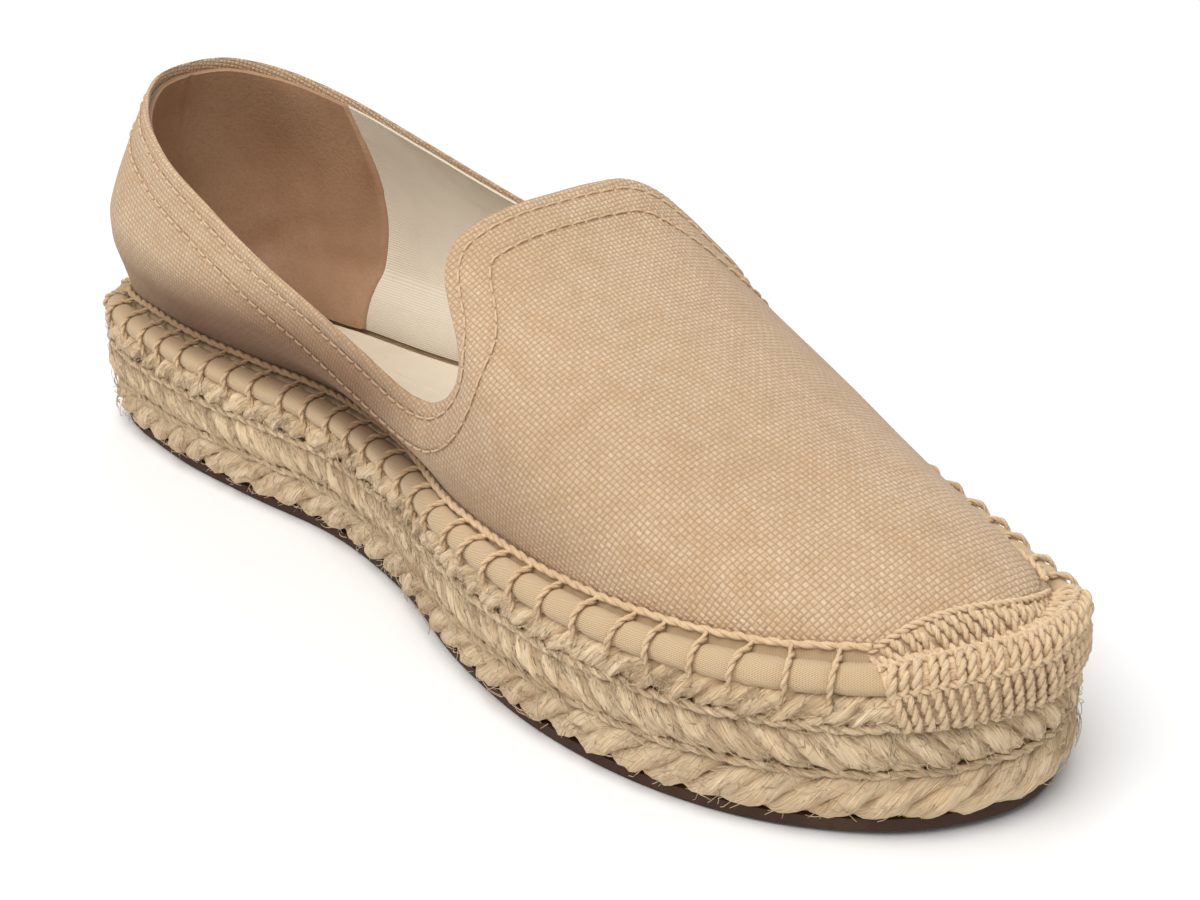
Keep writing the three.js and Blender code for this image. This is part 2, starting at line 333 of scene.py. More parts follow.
def clothMaterial(name, light, dark, pitch, relief):
    material, wire, shader = startMaterial(name, 0.9, 0.1)
    vector, (along, across, _) = surfaceAxes(wire)
    bead, odd, _, yarn = wovenHeight(wire, vector, along, across, pitch, 0.3, 0.5)
    colour = wire.mixColours(smoothStep(wire, bead, 0.0, 0.5, 0.35, 1.0), dark, light)
    colour = tinted(wire, colour, noise(wire, vector, 45.0, 3.0), 0.4, 0.75, 0.3, dark)
    finishMaterial(wire, shader, colour, bead * (0.8 + yarn * 0.3 + odd * 0.1), relief)
    return material


def leatherMaterial():
    look = {"dark": paint(158, 121, 92), "light": paint(176, 141, 112), "grain": paint(150, 120, 96)}
    material, wire, shader = startMaterial("heelLeather", 0.62)
    place = wire.make("TexCoord", out="Object")
    grain = wire.make("TexVoronoi", {"feature": "F1"}, {"Vector": place, "Scale": 1100.0})
    creases = noise(wire, place, 160.0, 4.0, 0.6)
    blotch = noise(wire, place, 40.0, 3.0)
    colour = wire.mixColours(smoothStep(wire, blotch, 0.3, 0.7), look["dark"], look["light"])
    colour = wire.mixColours(smoothStep(wire, grain, 0.2, 0.6, 0.3, 0.0), colour, look["grain"])
    finishMaterial(wire, shader, colour, grain * 0.5 + creases, 0.12 * mm)
    return material


def rubberMaterial():
    look = {"base": paint(66, 47, 36), "worn": paint(92, 70, 54), "groove": 5.0 * mm}
    material, wire, shader = startMaterial("brownRubber", 0.68)
    vector, (x, y, z) = surfaceAxes(wire, "Object")
    grit = noise(wire, vector, 900.0, 3.0)
    scuff = noise(wire, vector, 60.0, 4.0, 0.6)
    under = smoothStep(wire, z, 0.5 * mm, 0.1 * mm)
    zigzag = wire.maths("PINGPONG", y / look["groove"], 1.0)
    tread = wire.maths("SINE", (x / look["groove"] + zigzag) * (2 * math.pi))
    colour = tinted(wire, look["base"], scuff, 0.45, 0.8, 0.7, look["worn"])
    finishMaterial(wire, shader, colour, grit * 0.3 + tread * under, 0.4 * mm)
    return material


def floorMaterial():
    material, _, shader = startMaterial("studioFloor", 0.9)
    shader.inputs["Base Color"].default_value = (*studio["floorColour"], 1)
    return material


# ---- the sole's driving sizes, and its edge read from the frame

sole = {
    "length": 270 * mm, "heelX": -137.19 * mm, "heelRatio": 0.92, "spring": 1.8 * mm, "springStart": 0.78,
    "tread": 2.8 * mm, "gap": 0.3 * mm, "row": 9.3 * mm, "widestRow": 1.38, "seat": 5.5 * mm,
    "rim": 31.6 * mm, "well": 12.4 * mm, "feather": 6.6 * mm, "footReach": 7.5 * mm,
    "ribsPerSection": 4, "levels": 12, "edgeSteps": 24,
}
pipe = {
    "radius": 2.95 * mm, "inset": 3.2 * mm, "slack": 0.12 * mm, "pinch": 0.3 * mm, "pinchReach": 1.1 * mm,
    "rings": 900, "sides": 20,
}
pipe["height"] = sole["tread"] + 2 * sole["gap"] + 2 * sole["row"] + sole["seat"] + pipe["radius"]


def cornersOf(mesh):
    corners = np.empty(len(mesh.loops), int)
    mesh.loops.foreach_get("vertex_index", corners)
    return corners


# A node's points with their doubles merged, and its triangles.
def nodePoints(name):
    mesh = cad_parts[name].data
    points = np.empty(len(mesh.vertices) * 3)
    mesh.vertices.foreach_get("co", points)
    points, index = np.unique(np.round(points.reshape(-1, 3), 6), axis=0, return_inverse=True)
    return points, index.ravel()[cornersOf(mesh)].reshape(-1, 3)


def soleShape(x):
    along = np.clip((x - sole["heelX"]) / sole["length"], 0, 1)
    rise = np.clip((along - sole["springStart"]) / (1 - sole["springStart"]), 0, 1)
    return sole["heelRatio"] + (1 - sole["heelRatio"]) * along, sole["spring"] * rise ** 2


def nominalHeight(points):
    thick, lift = soleShape(points[:, 0])
    return (points[:, 2] - lift) / thick


def unit(vectors):
    return vectors / np.linalg.norm(vectors, axis=-1, keepdims=True)


def softStep(value, low, high):
    f = np.clip((value - low) / (high - low), 0, 1)
    return f * f * (3 - 2 * f)


def catmull(a, b, c, d, f):
    square = 2 * a - 5 * b + 4 * c - d
    cube = 3 * b - a - 3 * c + d
    return b + 0.5 * ((c - a) * f + square * f ** 2 + cube * f ** 3)


# The widest ring of the middle row, made finer: places, outward directions, lengths run to each of
# them, round the whole sole, and to each rib.
def readEdge():
    points, _ = nodePoints("jute_row_middle")
    widest = sole["tread"] + 2 * sole["gap"] + sole["widestRow"] * sole["row"]
    ring = points[abs(nominalHeight(points) - widest) < 0.03 * mm][:, :2]
    ring = ring[np.argsort(np.arctan2(ring[:, 1], ring[:, 0]))]
    ring = np.roll(ring, -int(np.argmin(ring[:, 0])), axis=0)
    f = (np.arange(sole["edgeSteps"]) / sole["edgeSteps"])[:, None]
    parts = [np.roll(ring, k, axis=0)[:, None] for k in (1, 0, -1, -2)]
    fine = catmull(*parts, f).reshape(-1, 2)
    step = np.linalg.norm(np.roll(fine, -1, axis=0) - fine, axis=1)
    run = np.r_[0, np.cumsum(step)]
    along = unit(np.roll(fine, -1, axis=0) - np.roll(fine, 1, axis=0))
    return fine, np.c_[along[:, 1], -along[:, 0]], run[:-1], run[-1], run[::sole["edgeSteps"]]


edgePoints, edgeOut, edgeRun, edgeLength, ribRun = readEdge()


def edgeAt(s):
    columns = [np.interp(s, edgeRun, values, period=edgeLength) for values in (*edgePoints.T, *edgeOut.T)]
    place, out = np.stack(columns[:2], -1), np.stack(columns[2:], -1)
    return place, unit(out)


def solePoint(s, inset, height):
    s, inset, height = np.broadcast_arrays(s, inset, height)
    place, out = edgeAt(s)
    flat = place - out * inset[..., None]
    thick, lift = soleShape(flat[..., 0])
    return np.concatenate([flat, (height * thick + lift)[..., None]], -1)


def soleOut(s):
    _, out = edgeAt(s)
    return np.concatenate([out, np.zeros_like(out[..., :1])], -1)


# ---- the upper's outer face, read from the frame: rib round the shoe, level up the wall


# Starts from the outer foot of the upper and steps from ring to ring up to the topline.
def readSkin():
    points, faces = nodePoints("upper")
    near = [set() for _ in points]
    for a, b, c in faces.tolist():
        near[a] |= {b, c}
        near[b] |= {a, c}
        near[c] |= {a, b}
    low = np.flatnonzero(abs(nominalHeight(points) - sole["rim"] - sole["gap"]) < 0.3 * mm)
    gap = np.linalg.norm(points[low, None, :2] - edgePoints[None], axis=2).min(1)
    foot, inner = low[gap < sole["footReach"]], low[gap >= sole["footReach"]]
    start = solePoint(0.0, sole["feather"], sole["rim"])
    foot = foot[np.argsort(np.arctan2(points[foot, 1], points[foot, 0]))]
    foot = np.roll(foot, -int(np.argmin(np.linalg.norm(points[foot] - start, axis=1))))
    rings, below = [foot], set(inner.tolist())
    shift = None
    while len(rings) <= sole["levels"]:
        ring = rings[-1]
        here = set(ring.tolist())
        ups = [near[v] - here - below for v in ring.tolist()]
        shared = np.array([min(ups[i] & ups[(i + 1) % len(ring)]) for i in range(len(ring))])
        if shift is None:
            straight = np.linalg.norm(points[shared] - points[ring], axis=1).sum()
            leaning = np.linalg.norm(points[shared] - points[np.roll(ring, -1)], axis=1).sum()
            shift = 0 if straight < leaning else 1
        rings.append(np.roll(shared, shift))
        below = here
    return points[np.array(rings)]


skinGrid = readSkin()
ribCount = skinGrid.shape[1]
topLevel = sole["levels"]

# The inner wall tucks in over the seam and bellies out above it.
belly = {
    "levels": (0, 1, 2, 4, 6, 8, 10),
    "push": (-1.5 * mm, -1.8 * mm, -1.2 * mm, 1.0 * mm, 1.9 * mm, 1.0 * mm, 0),
    "heelX": (-136 * mm, -112 * mm), "toeX": (24 * mm, -20 * mm), "innerY": (0, -16 * mm),
}
bellyPush = (
    np.interp(np.arange(topLevel + 1), belly["levels"], belly["push"])[:, None]
    * softStep(skinGrid[..., 0], *belly["heelX"])
    * softStep(skinGrid[..., 0], *belly["toeX"])
    * softStep(skinGrid[..., 1], *belly["innerY"])
)
skinGrid = skinGrid + soleOut(ribRun[:-1])[None] * bellyPush[..., None]
underFoot = 2 * skinGrid[:1] - skinGrid[1:2]
overTop = 2 * skinGrid[-1:] - skinGrid[-2:-1]
paddedGrid = np.concatenate([underFoot, skinGrid, overTop])


def skinAt(rib, level):
    rib, level = np.broadcast_arrays(np.asarray(rib, float), np.asarray(level, float))
    i = np.floor(rib).astype(int)
    k = np.clip(np.floor(level).astype(int), 0, topLevel - 1)
    f, g = (rib - i)[..., None], (level - k)[..., None]
    up = []
    for step in range(4):
        row = np.clip(k + step, 0, topLevel + 2)
        up.append(catmull(*(paddedGrid[row, (i + turn) % ribCount] for turn in (-1, 0, 1, 2)), f))
    return catmull(*up, g)


def skinNormal(rib, level):
    low = np.clip(level, 0.1, topLevel - 0.1)
    around = skinAt(rib + 0.1, low) - skinAt(rib - 0.1, low)
    up = skinAt(rib, low + 0.1) - skinAt(rib, low - 0.1)
    return unit(np.cross(around, up))


def skin(rib, level, out):
    out = np.asarray(out, float)
    return skinAt(rib, level) + skinNormal(rib, level) * (out[..., None] if out.ndim else out)


def ribOf(s):
    return np.interp(np.asarray(s) % edgeLength, ribRun, np.arange(ribCount + 1))


def runOf(rib):
    return np.interp(rib, np.arange(ribCount + 1), ribRun)


toplineDense = skinAt(np.linspace(0, ribCount, 2640, endpoint=False), float(topLevel))
toplineTree = KDTree(len(toplineDense))
for number, point in enumerate(toplineDense):
    toplineTree.insert(point, number)
toplineTree.balance()


def hemDistance(points):
    flat = points.reshape(-1, 3)
    return np.array([toplineTree.find(p)[2] for p in flat.tolist()]).reshape(points.shape[:-1])


# ---- mesh helpers


def selectOnly(piece):
    bpy.ops.object.select_all(action="DESELECT")
    piece.select_set(True)
    bpy.context.view_layer.objects.active = piece


# Runs an edit mode operator on the whole of the active piece.
def editWhole(operator, **settings):
    bpy.ops.object.mode_set(mode="EDIT")
    bpy.ops.mesh.select_all(action="SELECT")
    operator(**settings)
    bpy.ops.object.mode_set(mode="OBJECT")


# A grid primitive laid over places (levels x ribs), with its doubles merged where it closes.
def layGrid(name, places, sheetUv=None):
    levels, ribs = places.shape[:2]
    bpy.ops.object.select_all(action="DESELECT")
    bpy.ops.mesh.primitive_grid_add(x_subdivisions=ribs - 1, y_subdivisions=levels - 1, size=1)
    piece = bpy.context.object
    piece.name = piece.data.name = name
    mesh = piece.data
    if len(mesh.vertices) != levels * ribs:
        raise RuntimeError("the grid has other rows than asked for")
    mesh.vertices.foreach_set("co", places.reshape(-1))
    if sheetUv is not None:
        mesh.uv_layers[0].data.foreach_set("uv", sheetUv.reshape(-1, 2)[cornersOf(mesh)].ravel())
    mesh.update()
    editWhole(bpy.ops.mesh.remove_doubles, threshold=0.004 * mm)
    return piece


# The two faces of a sheet as one closed run of rows.
def bothFaces(front, back):
    return np.concatenate([front, back[::-1], front[:1]])


def closeHoles(piece):
    selectOnly(piece)
    bpy.ops.object.mode_set(mode="EDIT")
    bpy.ops.mesh.select_all(action="DESELECT")
    bpy.ops.mesh.select_mode(type="EDGE")
    bpy.ops.mesh.select_non_manifold()
    bpy.ops.mesh.edge_face_add()
    bpy.ops.mesh.quads_convert_to_tris(quad_method="BEAUTY", ngon_method="BEAUTY")
    bpy.ops.mesh.select_mode(type="VERT")
    bpy.ops.object.mode_set(mode="OBJECT")


def faceOut(piece):
    selectOnly(piece)
    editWhole(bpy.ops.mesh.normals_make_consistent, inside=False)


def finishPiece(piece, material, replaced=(), angle=40):
    selectOnly(piece)
    if angle:
        bpy.ops.object.shade_smooth_by_angle(angle=math.radians(angle))
    else:
        bpy.ops.object.shade_smooth()
    piece.data.materials.clear()
    piece.data.materials.append(material)
    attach(piece, "root")
    if replaced:
        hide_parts(*replaced)
    triangles = sum(len(p.vertices) - 2 for p in piece.data.polygons)
    print(piece.name, triangles, "triangles")


def joinPieces(name, pieces):
    selectOnly(pieces[0])
    for piece in pieces[1:]:
        piece.select_set(True)
    bpy.ops.object.join()
    pieces[0].name = pieces[0].data.name = name
    return pieces[0]


def framesAlong(paths, side, closed):
    if closed:
        along = np.roll(paths, -1, axis=1) - np.roll(paths, 1, axis=1)
    else:
        along = np.gradient(paths, axis=1)
    along = unit(along)
    across = unit(side - (side * along).sum(-1, keepdims=True) * along)
    return across, np.cross(along, across)


# Length run along each path: up to each ring and, last, back at the first.
def runAlong(paths):
    gap = np.linalg.norm(np.roll(paths, -1, axis=1) - paths, axis=-1)
    return np.concatenate([np.zeros((len(paths), 1)), np.cumsum(gap, axis=1)], 1)


# Tubes along paths (count x rings): vertices, faces and a length-and-girth map.
# The radius is one number, or has one for each ring, or one for each side of each ring.
def tubes(paths, side, radius, sides, closed=False):
    count, rings = paths.shape[:2]
    across, lift = framesAlong(paths, side, closed)
    radius = np.asarray(radius, float)
    if radius.ndim == 2:
        radius = radius[..., None]
    radius = np.broadcast_to(radius, (count, rings, sides))
    angle = np.arange(sides) / sides * 2 * math.pi
    ring = across[:, :, None] * np.cos(angle)[:, None] + lift[:, :, None] * np.sin(angle)[:, None]
    verts = paths[:, :, None] + ring * radius[..., None]
    steps = rings if closed else rings - 1
    c, i, k = np.meshgrid(np.arange(count), np.arange(steps), np.arange(sides), indexing="ij")
    j, l = (i + 1) % rings, (k + 1) % sides

    def number(i, k):
        return (c * rings + i) * sides + k

    quads = np.stack([number(i, k), number(i, l), number(j, l), number(j, k)], -1).reshape(-1, 4)
    run = runAlong(paths)
    girth = 2 * math.pi * float(radius.mean()) / sides
    start = (np.arange(count) * 0.137 % 1.0)[:, None] * np.ones((1, rings + 1))
    u = np.stack([(run + start)[c, i + e] for e in (0, 0, 1, 1)], -1)
    v = np.stack([(k + e) * girth for e in (0, 1, 1, 0)], -1)
    faces, maps = [quads], [np.stack([u, v], -1).reshape(-1, 4, 2)]
    if not closed:
        first = (np.arange(count) * rings * sides)[:, None]
        last = first + (rings - 1) * sides
        for caps in (first + np.arange(sides)[::-1], last + np.arange(sides)):
            faces.append(caps)
            maps.append(np.zeros((count, sides, 2)))
    return verts.reshape(-1, 3), faces, maps


def tubePiece(name, bundles):
    verts, faces, maps, base = [], [], [], 0
    for points, polys, uvs in bundles:
        verts.append(points)
        faces += [p + base for p in polys]
        maps += uvs
        base += len(points)
    mesh = bpy.data.meshes.new(name)
    verts = np.concatenate(verts)
    mesh.vertices.add(len(verts))
    mesh.vertices.foreach_set("co", verts.ravel())
    corners = np.concatenate([f.ravel() for f in faces])
    widths = np.concatenate([np.full(len(f), f.shape[1]) for f in faces])
    mesh.loops.add(len(corners))
    mesh.loops.foreach_set("vertex_index", corners)
    mesh.polygons.add(len(widths))
    mesh.polygons.foreach_set("loop_start", np.r_[0, np.cumsum(widths)[:-1]])
    mesh.update(calc_edges=True)
    layer = mesh.uv_layers.new(name="UVMap")
    layer.data.foreach_set("uv", np.concatenate([m.reshape(-1, 2) for m in maps]).ravel())
    mesh.validate()
    piece = bpy.data.objects.new(name, mesh)
    bpy.context.scene.collection.objects.link(piece)
    return piece


# Two plies that wind round each path: cord or thread.
def twoPly(paths, side, plyRadius, offset, pitch, sides, closed=False):
    across, lift = framesAlong(paths, side, closed)
    run = runAlong(paths)
    if closed:
        total = run[:, -1].mean()
        pitch = total / round(total / pitch)
    bundles = []
    for share in (0, 0.5):
        turn = 2 * math.pi * (run[:, :-1] / pitch + share)
        reach = across * np.cos(turn)[..., None] + lift * np.sin(turn)[..., None]
        bundles.append(tubes(paths + reach * offset, reach, plyRadius, sides, closed))
    return bundles


# A layer of the sole, from rings of inset and height. It is closed above and below, unless its
# profile closes on itself.
def plate(name, profile, spacing):
    s = np.arange(0, edgeLength, edgeLength / round(edgeLength / spacing))
    s = np.r_[s, s[0]]
    rings = np.array([solePoint(s, inset, height) for inset, height in profile])
    step = np.linalg.norm(np.diff(rings, axis=0), axis=2).mean(1)
    v = np.r_[0, np.cumsum(step)]
    run = np.r_[s[:-1], edgeLength]
    piece = layGrid(name, rings, np.stack(np.meshgrid(run, v), -1))
    if profile[0] != profile[-1]:
        closeHoles(piece)
    faceOut(piece)
    return piece


highest = toplineDense[:, 2].max()
print("frame read: sole edge", round(edgeLength / mm, 1), "mm, topline at", round(highest / mm, 1), "mm")

placeCamera(cameraView)
bpy.ops.mesh.primitive_plane_add(size=studio["floorSize"])
floor = bpy.context.object
floor.name = "floor"
floor.data.materials.append(floorMaterial())
softBox("keyLight", studio["keyPlace"], studio["keySize"], studio["keyPower"])
softBox("backLight", studio["backPlace"], studio["backSize"], studio["backPower"])
world = bpy.data.worlds.new("studioWorld")
world.use_nodes = True
sky = world.node_tree.nodes["Background"]
sky.inputs["Color"].default_value = (1, 1, 1, 1)
sky.inputs["Strength"].default_value = studio["world"]
bpy.context.scene.world = world
bpy.context.scene.view_settings.view_transform = "Standard"
print("camera, floor and lights placed")

jute = juteMaterial()
canvas = canvasMaterial()
twill = twillMaterial()
threadLook = cordMaterial("sewingThread", paint(232, 202, 162), paint(192, 158, 116))
hemLook = cordMaterial("hemThread", paint(222, 192, 156), paint(196, 164, 126))
cordLook = cordMaterial("guardCord", paint(234, 206, 168), paint(188, 156, 118))
creamCloth = clothMaterial("creamLining", paint(230, 218, 198), paint(204, 188, 164), 0.55 * mm, 0.1 * mm)
insoleCloth = clothMaterial("insoleCloth", paint(236, 222, 200), paint(206, 186, 158), 0.7 * mm, 0.16 * mm)
leather = leatherMaterial()

# ---- rubber tread

tread = {"inset": 2.6 * mm, "foot": 3.4 * mm, "spacing": 2.0 * mm}
piece = plate("rubberTread", [
    (tread["foot"], 0.0),
    (tread["foot"] - 0.4 * mm, 0.12 * mm),
    (tread["inset"] + 0.15 * mm, 0.5 * mm),
    (tread["inset"], 1.0 * mm),
    (tread["inset"], sole["tread"]),
], tread["spacing"])
finishPiece(piece, rubberMaterial(), ["outsole"])

# ---- jute rows

juteRows = [
    {
        "name": "juteRowLower", "node": "jute_row_lower",
        "low": 2.7 * mm, "high": 12.5 * mm, "coreInset": 3.4 * mm, "inner": None,
        "height": 7.55 * mm, "inset": 3.9 * mm, "pitch": 25 * mm, "hand": 1,
        "reachOut": 1.5 * mm, "reachUp": 2.75 * mm, "radius": 2.35 * mm, "ridge": 0.07, "phase": 0.4,
    },
    {
        "name": "juteRowMiddle", "node": "jute_row_middle",
        "low": 12.5 * mm, "high": 22.1 * mm, "coreInset": 3.0 * mm,
        "inner": [(sole["well"], 22.0 * mm), (sole["well"], 12.7 * mm)],
        "height": 17.35 * mm, "inset": 3.7 * mm, "pitch": 20 * mm, "hand": -1,
        "reachOut": 1.6 * mm, "reachUp": 2.6 * mm, "radius": 2.4 * mm, "ridge": 0.08, "phase": 1.3,
    },
    {
        "name": "juteRowUpper", "node": "jute_row_upper",
        "low": 22.1 * mm, "high": 31.5 * mm, "coreInset": 2.8 * mm,
        "inner": [(8.7 * mm, sole["rim"]), (sole["well"], 22.3 * mm)],
        "height": 25.0 * mm, "inset": 3.3 * mm, "pitch": 21 * mm, "hand": 1,
        "reachOut": 1.4 * mm, "reachUp": 1.6 * mm, "radius": 2.05 * mm, "ridge": 0.14, "phase": 2.2,
    },
]
strand = {
    "plies": 3, "sides": 14, "step": 0.85 * mm, "twist": 9 * mm, "waves": (61 * mm, 37 * mm, 17 * mm),
    "wander": 0.25 * mm, "smoothAngle": 60,
}


def aroundSole(step):
    return np.linspace(0, edgeLength, round(edgeLength / step), endpoint=False)


# Slow chance waves round the sole, a row for each of count, that meet where they close.
def wobble(run, count, waves):
    total = np.zeros((count, len(run)))
    for wave in waves:
        turns = round(edgeLength / wave)
        total += np.sin(2 * math.pi * turns * run / edgeLength + rng.uniform(0, 2 * math.pi, (count, 1)))
    return total / len(waves)


# How far the fibres of a strand stand up from its girth, at each ring and side.
def strandRidges(run, drift):
    angle = np.arange(strand["sides"]) / strand["sides"] * 2 * math.pi
    twist = run[:, None] / strand["twist"]
    return (
        np.cos(3 * angle + 2.1 * twist + 3 * drift[3][:, None])
        + 0.8 * np.cos(5 * angle - 1.4 * twist + 4 * drift[0][:, None])
        + 0.45 * rng.standard_normal((len(run), strand["sides"]))
    )


def juteRow(row):
    run = aroundSole(strand["step"])
    turns = round(edgeLength / row["pitch"])
    out, up = soleOut(run), np.array([0.0, 0.0, 1.0])
    bundles = []
    for ply in range(strand["plies"]):
        drift = wobble(run, 4, strand["waves"])
        turn = row["hand"] * 2 * math.pi * turns * run / edgeLength + row["phase"]
        turn = turn + 2 * math.pi * ply / strand["plies"] + 0.35 * drift[0]
        inset = row["inset"] - row["reachOut"] * np.cos(turn) - strand["wander"] * drift[1]
        height = row["height"] + row["reachUp"] * np.sin(turn) + strand["wander"] * drift[2]
        centre = solePoint(run, inset, height)
        side = out * np.cos(turn)[:, None] + up * np.sin(turn)[:, None]
        swell = 0.06 * drift[1][:, None] + row["ridge"] * strandRidges(run, drift)
        radius = row["radius"] * (1 + swell)
        bundles.append(tubes(centre[None], side[None], radius[None], strand["sides"], True))
    ropes = tubePiece(row["name"], bundles)
    profile = [
        (row["coreInset"] + 0.6 * mm, row["low"]),
        (row["coreInset"], row["low"] + 1.5 * mm),
        (row["coreInset"], row["height"] + 1.5 * mm),
        (row["coreInset"] + 0.8 * mm, min(row["high"], row["height"] + 4.4 * mm)),
        (6.9 * mm, row["high"]),
    ]
    if row["inner"]:
        profile += row["inner"] + profile[:1]
    core = plate(row["name"] + "Core", profile, 2.5 * mm)
    piece = joinPieces(row["name"], [ropes, core])
    finishPiece(piece, jute, [row["node"]], strand["smoothAngle"])


for row in juteRows:
    juteRow(row)

# Two-ply cord in the groove under the top row, and a thinner one, further in, under the middle row.
groove = {
    "cords": [
        {"height": 22.0 * mm, "inset": 0.95 * mm, "ply": 0.62 * mm},
        {"height": 12.5 * mm, "inset": 1.5 * mm, "ply": 0.5 * mm},
    ],
    "step": 0.8 * mm, "waves": (83 * mm, 29 * mm, 13 * mm), "pitch": 7 * mm, "sides": 8,
}


def grooveCords():
    run = aroundSole(groove["step"])
    bundles = []
    for cord in groove["cords"]:
        drift = wobble(run, 2, groove["waves"])
        path = solePoint(run, cord["inset"] + 0.35 * mm * drift[0], cord["height"] + 0.45 * mm * drift[1])
        twist = cord["ply"], cord["ply"] * 0.7, groove["pitch"], groove["sides"]
        bundles += twoPly(path[None], soleOut(run)[None], *twist, True)
    finishPiece(tubePiece("grooveCords", bundles), jute, (), 0)


grooveCords()

# Loose fibres standing off the plait.
hairs = {
    "bands": [
        {"count": 1000, "low": 4.6 * mm, "high": 12.0 * mm, "slant": 0.5},
        {"count": 2000, "low": 13.0 * mm, "high": 21.6 * mm, "slant": -0.9},
        {"count": 1500, "low": 22.4 * mm, "high": 27.2 * mm, "slant": 0.8},
    ],
    "length": (2.5 * mm, 7 * mm), "radius": 0.075 * mm, "rings": 6, "sides": 3,
    "reach": (3.2 * mm, 29 * mm), "root": 0.4 * mm,
}


def looseFibres():
    bundles = []
    for band in hairs["bands"]:
        count, rings = band["count"], hairs["rings"]
        s = rng.uniform(0, edgeLength, (count, 1))
        height = rng.uniform(band["low"], band["high"], (count, 1))
        length = rng.uniform(*hairs["length"], (count, 1))
        slant = band["slant"] + rng.normal(0, 0.45, (count, 1))
        f = np.linspace(-0.5, 0.5, rings)[None]
        bend = rng.normal(0, 0.35, (count, 1)) * length
        stand = np.abs(rng.normal(0.15, 0.35, (count, 1))) * mm + rng.exponential(0.2 * mm, (count, 1))
        lean = rng.uniform(-1, 1, (count, 1))
        runs = s + f * length * np.cos(slant) + bend * f ** 2 * np.sin(slant)
        heights = height + f * length * np.sin(slant) + bend * f ** 2 * np.cos(slant)
        heights = np.clip(heights, *hairs["reach"])
        insets = hairs["root"] - stand * (1 - (2 * f) ** 2 * 0.8 + lean * f)
        paths = solePoint(runs, insets, heights)
        side = np.broadcast_to([0.0, 0.0, 1.0], paths.shape) + 0.3 * rng.standard_normal(paths.shape)
        bundles.append(tubes(paths, side, hairs["radius"], hairs["sides"]))
    finishPiece(tubePiece("looseFibres", bundles), jute, (), 0)


looseFibres()
print("jute laid")

# ---- blanket stitches, crease thread and piping

guardEnds = runOf(np.array([9.6, 12.05]) * sole["ribsPerSection"])
stitch = {
    "spacing": 8.6 * mm, "margin": 1.5 * mm, "chance": 0.35 * mm, "lean": 2.2 * mm, "over": 0.42 * mm,
    "endInset": 1.1 * mm, "endHeight": 24.6 * mm,
    "ply": 0.43 * mm, "offset": 0.28 * mm, "pitch": 4.6 * mm, "rings": 22, "sides": 6,
}
crease = {
    "height": 34.7 * mm, "out": 0.85 * mm, "rings": 1100, "waves": (19 * mm, 7 * mm),
    "ply": 0.52 * mm, "offset": 0.28 * mm, "pitch": 6.4 * mm, "sides": 8,
}


def stitchRuns():
    free = edgeLength - (guardEnds[1] - guardEnds[0]) - 2 * stitch["margin"]
    count = round(free / stitch["spacing"])
    runs = guardEnds[1] + stitch["margin"] + (np.arange(count) + 0.5) * free / count
    return (runs + rng.normal(0, stitch["chance"], count)) % edgeLength


stitchAt = stitchRuns()


# The canvas wall's place at a nominal height just above its foot, found by halving.
def wallPoint(s, height, out):
    rib = ribOf(s)
    low = np.zeros_like(rib)
    high = np.full_like(rib, 4.0)
    target = solePoint(s, 0.0, height)[..., 2]
    for _ in range(18):
        middle = (low + high) / 2
        under = skinAt(rib, middle)[..., 2] < target
        low, high = np.where(under, middle, low), np.where(under, high, middle)
    return skin(rib, (low + high) / 2, out)


def piping():
    run = np.linspace(0, edgeLength, pipe["rings"], endpoint=False)
    path = solePoint(run, pipe["inset"], pipe["height"])
    near = np.abs((run[:, None] - stitchAt[None] + edgeLength / 2) % edgeLength - edgeLength / 2).min(1)
    radius = pipe["radius"] - pipe["slack"] - pipe["pinch"] * np.exp(-((near / pipe["pinchReach"]) ** 2))
    radius = radius + 0.06 * mm * wobble(run, 1, (47 * mm, 23 * mm, 11 * mm))[0]
    bundles = [tubes(path[None], soleOut(run)[None], radius[None], pipe["sides"], True)]
    finishPiece(tubePiece("twillPiping", bundles), twill, ["piping"], 0)


# The seam allowance of the twill, turned up against the canvas: each row's share of the way up, and
# how far it stands off the wall.
flange = {
    "foot": sole["rim"] + 0.6 * mm, "ragged": 0.35 * mm, "waves": (9 * mm, 5.3 * mm, 2.9 * mm),
    "rows": [(0, 1.5 * mm), (0.5, 1.0 * mm), (1, 0.45 * mm), (1, 0.05 * mm), (0, 0.05 * mm), (0, 1.5 * mm)],
}


def pipingFlange():
    s = np.linspace(0, edgeLength, pipe["rings"] + 1)
    ragged = flange["ragged"] * wobble(s, 1, flange["waves"])[0]
    ragged[-1] = ragged[0]
    top = crease["height"] + 0.1 * mm + ragged
    rows = [wallPoint(s, top * f + flange["foot"] * (1 - f), out) for f, out in flange["rows"]]
    uv = np.stack(np.meshgrid(np.r_[s[:-1], edgeLength], np.arange(len(rows)) * 2 * mm), -1)
    piece = layGrid("pipingFlange", np.array(rows), uv)
    faceOut(piece)
    finishPiece(piece, twill, (), 50)


def creaseThread():
    s = np.linspace(guardEnds[1] - 1.0 * mm, guardEnds[0] + 1.0 * mm + edgeLength, crease["rings"])
    height = crease["height"] + 0.12 * mm * wobble(s, 1, crease["waves"])[0]
    path = wallPoint(s % edgeLength, height, crease["out"])
    side = soleOut(s % edgeLength)
    return twoPly(path[None], side[None], crease["ply"], crease["offset"], crease["pitch"], crease["sides"])


